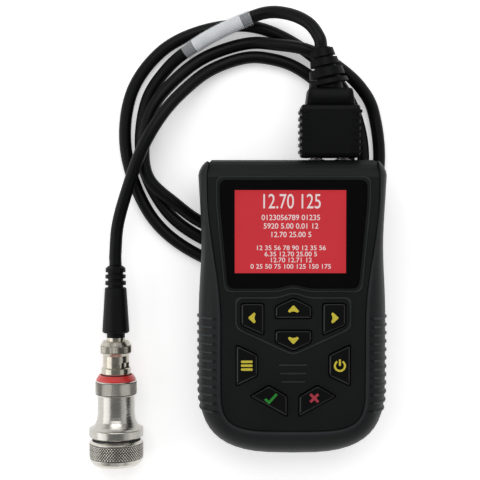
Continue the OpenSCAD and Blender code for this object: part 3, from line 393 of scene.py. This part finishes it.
def rounded(points, r, n=6):
    """A closed outline with each corner cut back by r and curved, in n steps."""
    out = []
    for i, b in enumerate(points):
        b = Vector(b)
        a = b + r * (Vector(points[i - 1]) - b).normalized()
        c = b + r * (Vector(points[(i + 1) % len(points)]) - b).normalized()
        for k in range(n + 1):
            t = k / n
            out.append(a.lerp(b, t).lerp(b.lerp(c, t), t))
    return [(p.x, p.y) for p in out]


def mirrored(points):
    return [(-x, y) for x, y in reversed(points)]


def cap(key, outline):
    """Moulded skin of a key: a rounded edge, wider along the lower side."""
    rings = []
    for d, shift, z in CAP_PROFILE:
        rings.append([(x, y + shift, FACE + z) for x, y in rounded(inset(outline, d), 1.2)])
    verts, faces = rings_mesh(rings, True)
    piece("cap_" + key[4:], verts, faces, key_mat, key + "_body")


right_key = [(12.8, -10.8), (22.5, -6.5), (22.5, 2.9), (12.8, 2.9)]
power_key = [(24.6, -32.85), (24.6, -15.15), (15.5, -19.45), (15.5, -28.55)]
cross_key = [(2.6, -46.2), (18.5, -37.4), (10.55, -32.7), (2.6, -37.4)]
cap("key_up", [(-7.8, -3.5), (7.8, -3.5), (7.8, 1.6), (0, 5.3), (-7.8, 1.6)])
cap("key_down", [(-7.8, -13.9), (0, -17.6), (7.8, -13.9), (7.8, -8.8), (-7.8, -8.8)])
cap("key_right", right_key)
cap("key_left", mirrored(right_key))
cap("key_power", power_key)
cap("key_menu", mirrored(power_key))
cap("key_cross", cross_key)
cap("key_tick", mirrored(cross_key))


# Signs: thin printed shapes on the caps
SIGN_SINK, SIGN_RISE = 0.02, 0.05


def legend(name, outline, key, material):
    verts, faces = slab(outline, CAP - SIGN_SINK, CAP + SIGN_RISE)
    piece(name, verts, faces, material, key + "_body", smooth=False)


def moved(points, x, y, turn=0.0):
    c, s = math.cos(math.radians(turn)), math.sin(math.radians(turn))
    return [(x + c * px - s * py, y + s * px + c * py) for px, py in points]


def bar(w, h, r=0.35):
    """Rectangle about the origin, with rounded corners."""
    pts = []
    for cx, cy, a0 in ((w / 2 - r, -h / 2 + r, -90), (w / 2 - r, h / 2 - r, 0), (-w / 2 + r, h / 2 - r, 90),
                       (-w / 2 + r, -h / 2 + r, 180)):
        for k in range(4):
            a = math.radians(a0 + 30 * k)
            pts.append((cx + r * math.cos(a), cy + r * math.sin(a)))
    return pts


def open_ring(outer, inner, start, sweep, n=36):
    """Part of a flat ring, between two radii; the angles are in degrees."""
    angles = [math.radians(start + sweep * k / n) for k in range(n + 1)]
    return ([(outer * math.cos(a), outer * math.sin(a)) for a in angles]
            + [(inner * math.cos(a), inner * math.sin(a)) for a in reversed(angles)])


def plus(a, b):
    """Upright cross with arms a long and 2 b wide."""
    return [(a, -b), (a, b), (b, b), (b, a), (-b, a), (-b, b),
            (-a, b), (-a, -b), (-b, -b), (-b, -a), (b, -a), (b, -b)]


arrow = [(-2.3, -1.0), (-1.9, -1.4), (-1.4, -1.45), (-0.9, -1.15), (0, -1.0), (0.9, -1.15), (1.4, -1.45),
         (1.9, -1.4), (2.3, -1.0), (2.2, -0.6), (0.35, 1.45), (0, 1.6), (-0.35, 1.45), (-2.2, -0.6)]
tick = [(-2.9, -0.5), (-2.0, 0.3), (-0.8, -0.9), (2.1, 2.4), (3.0, 1.7), (-0.7, -2.4)]
legend("legend_up", moved(arrow, 0, 0.6), "key_up", yellow_mat)
legend("legend_down", moved(arrow, 0, -12.9, 180), "key_down", yellow_mat)
legend("legend_left", moved(arrow, -17.8, -3.2, 90), "key_left", yellow_mat)
legend("legend_right", moved(arrow, 17.8, -3.2, -90), "key_right", yellow_mat)
for i in (-1, 0, 1):
    legend("legend_menu_%d" % (i + 2), moved(bar(5.0, 1.05), -20.1, -23.9 + 1.68 * i), "key_menu", yellow_mat)
legend("legend_power_ring", moved(open_ring(2.6, 1.75, 122, 296), 20.1, -24.0), "key_power", yellow_mat)
legend("legend_power_bar", moved(bar(0.9, 2.9), 20.1, -22.6), "key_power", yellow_mat)
legend("legend_tick", moved(tick, -9.7, -38.3), "key_tick", green_mat)
legend("legend_cross", moved(plus(2.45, 0.58), 9.1, -38.0, 45), "key_cross", cross_mat)


# Window: a black printed border on the clear pane, with the lit screen seen through it
PRINT = 0.00001
LIT_LAYER = 0.00002
BORDER_Z = 35.015
LIT_Z = 30.74
DIGITS_X = -0.9


def from_curve(name, cu, material, x, y, z, wide=1.0):
    """A piece on the main body from a filled curve, widened and then moved to (x, y, z)."""
    tmp = bpy.data.objects.new(name + "_line", cu)
    scene.collection.objects.link(tmp)
    bpy.context.view_layer.update()
    me = bpy.data.meshes.new_from_object(tmp.evaluated_get(bpy.context.evaluated_depsgraph_get()))
    bpy.data.objects.remove(tmp)
    for v in me.vertices:
        v.co = Vector((v.co.x * wide + x * MM, v.co.y + y * MM, v.co.z + z * MM))
    me.materials.clear()
    me.materials.append(material)
    o = bpy.data.objects.new(name, me)
    scene.collection.objects.link(o)
    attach(o, ROOT)


def border(name, outline, hole, z, material):
    """Thin frame between an outline and a rectangle inside it."""
    cu = bpy.data.curves.new(name, "CURVE")
    cu.dimensions = "2D"
    cu.fill_mode = "BOTH"
    cu.extrude = PRINT
    for pts in (outline, hole):
        s = cu.splines.new("POLY")
        s.points.add(len(pts) - 1)
        for q, p in zip(s.points, pts):
            q.co = (p[0] * MM, p[1] * MM, 0, 1)
        s.use_cyclic_u = True
    from_curve(name, cu, material, 0, 0, z)


def digits(name, text, size, y, wide):
    """A line of lit numbers on the screen."""
    cu = bpy.data.curves.new(name, "FONT")
    cu.body = text
    cu.size = size * MM
    cu.align_x = "CENTER"
    cu.align_y = "CENTER"
    cu.extrude = LIT_LAYER
    cu.offset = LIT_LAYER
    from_curve(name, cu, digits_mat, DIGITS_X, y, LIT_Z, wide)


window = rounded([(-28.2, 9.4), (-6.5, 9.4), (0, 11.4), (6.5, 9.4), (28.2, 9.4), (31.7, 46.2), (31.7, 56.1),
                  (-31.7, 56.1), (-31.7, 46.2)], 3.1)
x, y, w, h = -1.3, 33.9, 48.0, 35.8
screen = [(x - w / 2, y - h / 2), (x + w / 2, y - h / 2), (x + w / 2, y + h / 2), (x - w / 2, y + h / 2)]
border("lens_border", window, screen, BORDER_Z, border_mat)
for i, (text, size, y, wide) in enumerate((
        ("12.70 125", 9.0, 46.6, 0.74),
        ("0123056789 01235", 3.3, 39.8, 1.0),
        ("5920 5.00 0.01 12", 3.3, 36.1, 1.0),
        ("12.70 25.00 5", 3.3, 32.4, 1.0),
        ("12 35 56 78 90 12 35 56", 2.85, 26.6, 1.08),
        ("6.35 12.70 25.00 5", 2.85, 23.9, 1.08),
        ("12.70 12.71 12", 2.85, 21.3, 1.08),
        ("0 25 50 75 100 125 150 175", 2.85, 18.5, 1.08))):
    digits("digits_%d" % (i + 1), text, size, y, wide)


# Knurled bands
TOOTH_STEPS = 6
ROOT_RISE = 0.012
BAND_SINK = 0.3
RUN_OUT = 0.35


def tri(t):
    """Triangle wave between 0 and 1, with one tooth a unit."""
    return 1 - 2 * abs(t % 1 - 0.5)


def knurl(name, y0, y1, r, depth, count, pitch, body, material, cross=True, groove=0.34):
    """Raised diamonds or straight teeth round the probe's axis, with painted shade in the grooves between them."""
    around = count * TOOTH_STEPS
    rows = max(6, int((y1 - y0) / (pitch / 8)))
    angles = [2 * math.pi * k / around for k in range(around)]

    def height(u, y):
        fade = min(1, (y - y0) / RUN_OUT, (y1 - y) / RUN_OUT)
        if cross:
            return fade * min(tri(u + (y - y0) / pitch), tri(u - (y - y0) / pitch))
        return fade * tri(u)

    def ring(y, radii):
        return [(PROBE_X + rr * math.cos(a), y, PROBE_Z - rr * math.sin(a)) for a, rr in zip(angles, radii)]

    inner = [r - BAND_SINK] * around
    rings = [ring(y0, inner)]
    for j in range(rows + 1):
        y = y0 + (y1 - y0) * j / rows
        rings.append(ring(y, [r + ROOT_RISE + depth * height(k / TOOTH_STEPS, y) for k in range(around)]))
    rings.append(ring(y1, inner))
    rings.append(rings[0])
    verts, faces = rings_mesh(rings, False)
    o = piece(name, verts, faces, material, body, smooth=False)
    # The low faces take the dark metal: painted shade in the grooves
    o.data.materials.append(knurl_shade_mat)
    low = []
    for i in range(len(faces)):
        y = y0 + (y1 - y0) * (i // around - 0.5) / rows
        low.append(1 if height((i % around + 0.5) / TOOTH_STEPS, min(max(y, y0), y1)) < groove else 0)
    o.data.polygons.foreach_set("material_index", low)


knurl("knurl_ring", -69.5, -62.6, 12.1, 0.18, 60, 1.5, "retaining_ring_body", knurl_mat)
knurl("knurl_collar", -40.5, -34.8, 9.2, 0.3, 50, 1.3, ROOT, knurl_mat)
knurl("knurl_nut", -21.6, -18.3, 6.9, 0.12, 72, 1.0, "coupling_nut_body", nickel_mat,
      cross=False, groove=0.3)


# Floor: white to the camera and in what the object mirrors or lets through, and it keeps the shadow
FLOOR_HALF = 3
FLOOR_LIFT = 0.4
corners = [(-FLOOR_HALF, -FLOOR_HALF, 0), (FLOOR_HALF, -FLOOR_HALF, 0), (FLOOR_HALF, FLOOR_HALF, 0),
           (-FLOOR_HALF, FLOOR_HALF, 0)]
floor_me = bpy.data.meshes.new("floor")
floor_me.from_pydata(corners, [], [(0, 1, 2, 3)])
floor = bpy.data.objects.new("floor", floor_me)
floor.location.z = -0.0002
floor_mat, tree, b = new_material("floor", Base_Color=(0.94, 0.94, 0.94, 1), Roughness=0.9,
                                  Specular_IOR_Level=0.1, Emission_Color=(1, 1, 1, 1))
ray = add_node(tree, "ShaderNodeLightPath").outputs
seen = add_node(tree, "ShaderNodeMath", ray["Is Camera Ray"], ray["Is Glossy Ray"], operation="MAXIMUM")
both = add_node(tree, "ShaderNodeMath", seen.outputs["Value"], ray["Is Transmission Ray"], operation="MAXIMUM")
lift = add_node(tree, "ShaderNodeMath", both.outputs["Value"], FLOOR_LIFT, operation="MULTIPLY")
feed(tree, b, {"Emission_Strength": lift.outputs["Value"]})
floor_me.materials.append(floor_mat)
scene.collection.objects.link(floor)

# World: a pale horizon that dims towards the zenith
world = bpy.data.worlds.new("world")
scene.world = world
world.use_nodes = True
tree = world.node_tree
sky = add_node(tree, "ShaderNodeTexCoord").outputs["Generated"]
up = add_node(tree, "ShaderNodeSeparateXYZ", sky).outputs["Z"]
fade = add_node(tree, "ShaderNodeMapRange", Value=up, From_Min=0.1, From_Max=0.6, To_Min=1.0, To_Max=0.2)
fade.interpolation_type = "SMOOTHSTEP"
feed(tree, tree.nodes["Background"], {"Color": fade.outputs["Result"], "Strength": 1.0})


# Lamps
def lamp(name, place, aim, size, power, height=None):
    data = bpy.data.lights.new(name, "AREA")
    data.shape = "RECTANGLE"
    data.size = size
    data.size_y = height or size
    data.energy = power
    o = bpy.data.objects.new(name, data)
    o.location = place
    o.rotation_euler = (Vector(aim) - Vector(place)).to_track_quat("-Z", "Y").to_euler()
    scene.collection.objects.link(o)


lamp("key", (0.0, 0.62, 0.95), (-0.02, 0.02, 0), 1.1, 6.6, 0.75)
lamp("left", (-0.8, -0.05, 0.5), (-0.02, 0.02, 0), 0.7, 2.4)
lamp("right", (0.75, 0.0, 0.55), (0, 0.02, 0), 0.7, 0.9)
lamp("low", (0.0, -0.8, 0.42), (-0.02, -0.02, 0), 0.7, 0.65, 0.3)
scene.view_settings.view_transform = "Standard"
